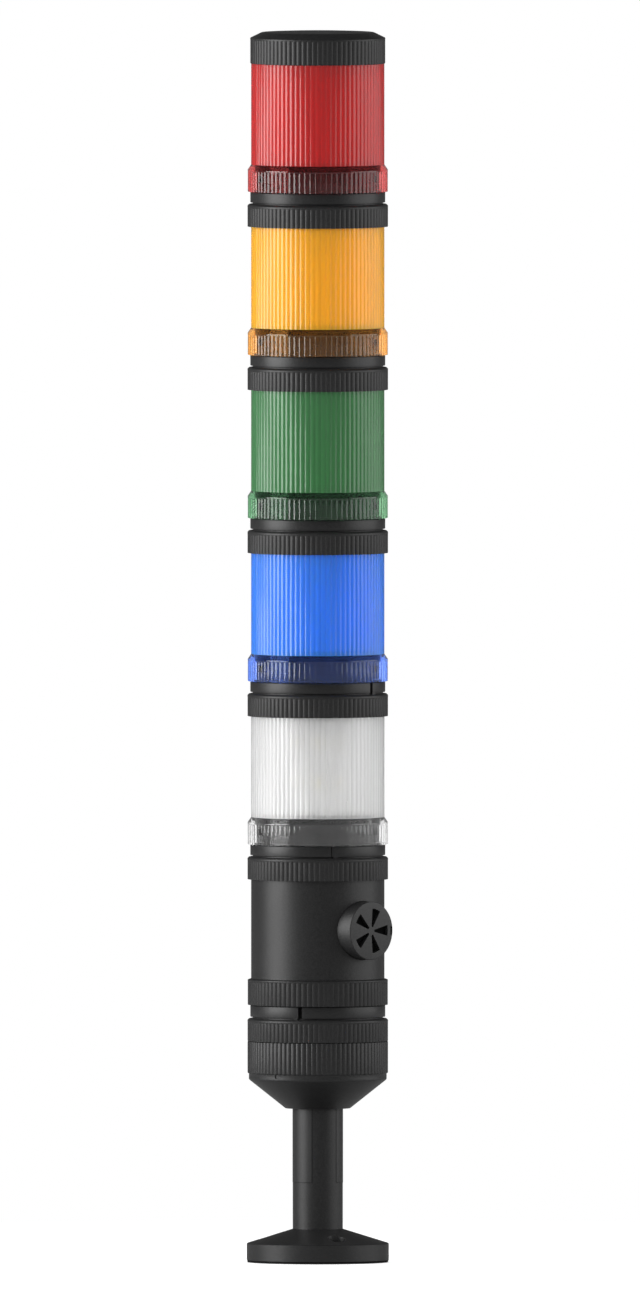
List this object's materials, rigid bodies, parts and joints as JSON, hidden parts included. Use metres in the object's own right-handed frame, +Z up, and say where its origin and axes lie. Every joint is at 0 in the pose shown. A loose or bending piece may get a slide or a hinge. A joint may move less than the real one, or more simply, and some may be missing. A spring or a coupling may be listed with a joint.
{
  "type": "signal tower light",
  "caption": "Signal tower: five coloured lamp modules over a sounder with a round slotted port, on a tube stand with a round foot.",
  "frame": {"origin": "centre of the foot's mounting face, on the tower's axis", "axes": "+Z up the tower's axis towards the cap, -Y the front, +X to the right seen from the front; the sound port looks out 43 degrees to the right of the front"},
  "size_m": [0.0723, 0.0735, 0.6093],
  "materials": {
    "amber_lens": "tinted polycarbonate",
    "blue_lens": "tinted polycarbonate",
    "board": "green circuit board",
    "cap_plastic": "satin black moulded plastic",
    "capsule_metal": "plain pressed steel",
    "clear_lens": "clear polycarbonate",
    "collar_plastic": "satin black moulded plastic",
    "contact_brass": "plain brass",
    "core_plastic": "white board tube",
    "green_lens": "tinted polycarbonate",
    "head_plastic": "fine-textured satin black moulded plastic",
    "housing_plastic": "fine-textured satin black moulded plastic",
    "inner_plastic": "plain white moulded plastic",
    "led_face": "pale yellow lamp face",
    "membrane": "black acoustic membrane",
    "nut_plastic": "plain black moulded plastic",
    "port_plastic": "satin black moulded plastic",
    "red_lens": "tinted polycarbonate",
    "screw_steel": "zinc-plated steel",
    "seal_rubber": "matt black rubber",
    "stand_plastic": "fine-textured satin black moulded plastic",
    "terminal_plastic": "grey moulded plastic"
  },
  "bodies": {
    "base": {"foot_gasket": "seal_rubber", "lower_shell": "housing_plastic", "shell_seal": "seal_rubber", "stand": "stand_plastic", "tube_nut": "nut_plastic"},
    "terminal_unit": {"terminal_block": "terminal_plastic", "terminal_collar": "collar_plastic", "terminal_head": "head_plastic", "terminal_screws": "screw_steel", "terminal_seal": "seal_rubber"},
    "sounder_unit": {"port_membrane": "membrane", "sound_port": "port_plastic", "sounder_board": "board", "sounder_capsule": "capsule_metal", "sounder_collar": "collar_plastic", "sounder_contact_pins": "contact_brass", "sounder_contact_plate": "inner_plastic", "sounder_head": "head_plastic", "sounder_housing": "housing_plastic", "sounder_seal": "seal_rubber"},
    "clear_unit": {"clear_collar": "collar_plastic", "clear_contact_pins": "contact_brass", "clear_contact_plate": "inner_plastic", "clear_head": "head_plastic", "clear_leds": "led_face", "clear_lens": "clear_lens", "clear_light_core": "core_plastic", "clear_seal": "seal_rubber"},
    "blue_unit": {"blue_collar": "collar_plastic", "blue_contact_pins": "contact_brass", "blue_contact_plate": "inner_plastic", "blue_head": "head_plastic", "blue_leds": "led_face", "blue_lens": "blue_lens", "blue_light_core": "core_plastic", "blue_seal": "seal_rubber"},
    "green_unit": {"green_collar": "collar_plastic", "green_contact_pins": "contact_brass", "green_contact_plate": "inner_plastic", "green_head": "head_plastic", "green_leds": "led_face", "green_lens": "green_lens", "green_light_core": "core_plastic", "green_seal": "seal_rubber"},
    "amber_unit": {"amber_collar": "collar_plastic", "amber_contact_pins": "contact_brass", "amber_contact_plate": "inner_plastic", "amber_head": "head_plastic", "amber_leds": "led_face", "amber_lens": "amber_lens", "amber_light_core": "core_plastic", "amber_seal": "seal_rubber"},
    "red_unit": {"cap": "cap_plastic", "cap_seal": "seal_rubber", "red_contact_pins": "contact_brass", "red_contact_plate": "inner_plastic", "red_leds": "led_face", "red_lens": "red_lens", "red_light_core": "core_plastic"}
  },
  "joints": [
    {"name": "terminal_twist", "type": "hinge", "parent": "base", "child": "terminal_unit", "pos_m": [0, 0, 0.1092], "axis": [0, 0, 1], "range_deg": [0, 24]},
    {"name": "sounder_twist", "type": "hinge", "parent": "terminal_unit", "child": "sounder_unit", "pos_m": [0, 0, 0.1271], "axis": [0, 0, 1], "range_deg": [0, 24]},
    {"name": "clear_twist", "type": "hinge", "parent": "sounder_unit", "child": "clear_unit", "pos_m": [0, 0, 0.2066], "axis": [0, 0, 1], "range_deg": [0, 24]},
    {"name": "blue_twist", "type": "hinge", "parent": "clear_unit", "child": "blue_unit", "pos_m": [0, 0, 0.2874], "axis": [0, 0, 1], "range_deg": [0, 24]},
    {"name": "green_twist", "type": "hinge", "parent": "blue_unit", "child": "green_unit", "pos_m": [0, 0, 0.3682], "axis": [0, 0, 1], "range_deg": [0, 24]},
    {"name": "amber_twist", "type": "hinge", "parent": "green_unit", "child": "amber_unit", "pos_m": [0, 0, 0.449], "axis": [0, 0, 1], "range_deg": [0, 24]},
    {"name": "red_twist", "type": "hinge", "parent": "amber_unit", "child": "red_unit", "pos_m": [0, 0, 0.5298], "axis": [0, 0, 1], "range_deg": [0, 24]}
  ]
}
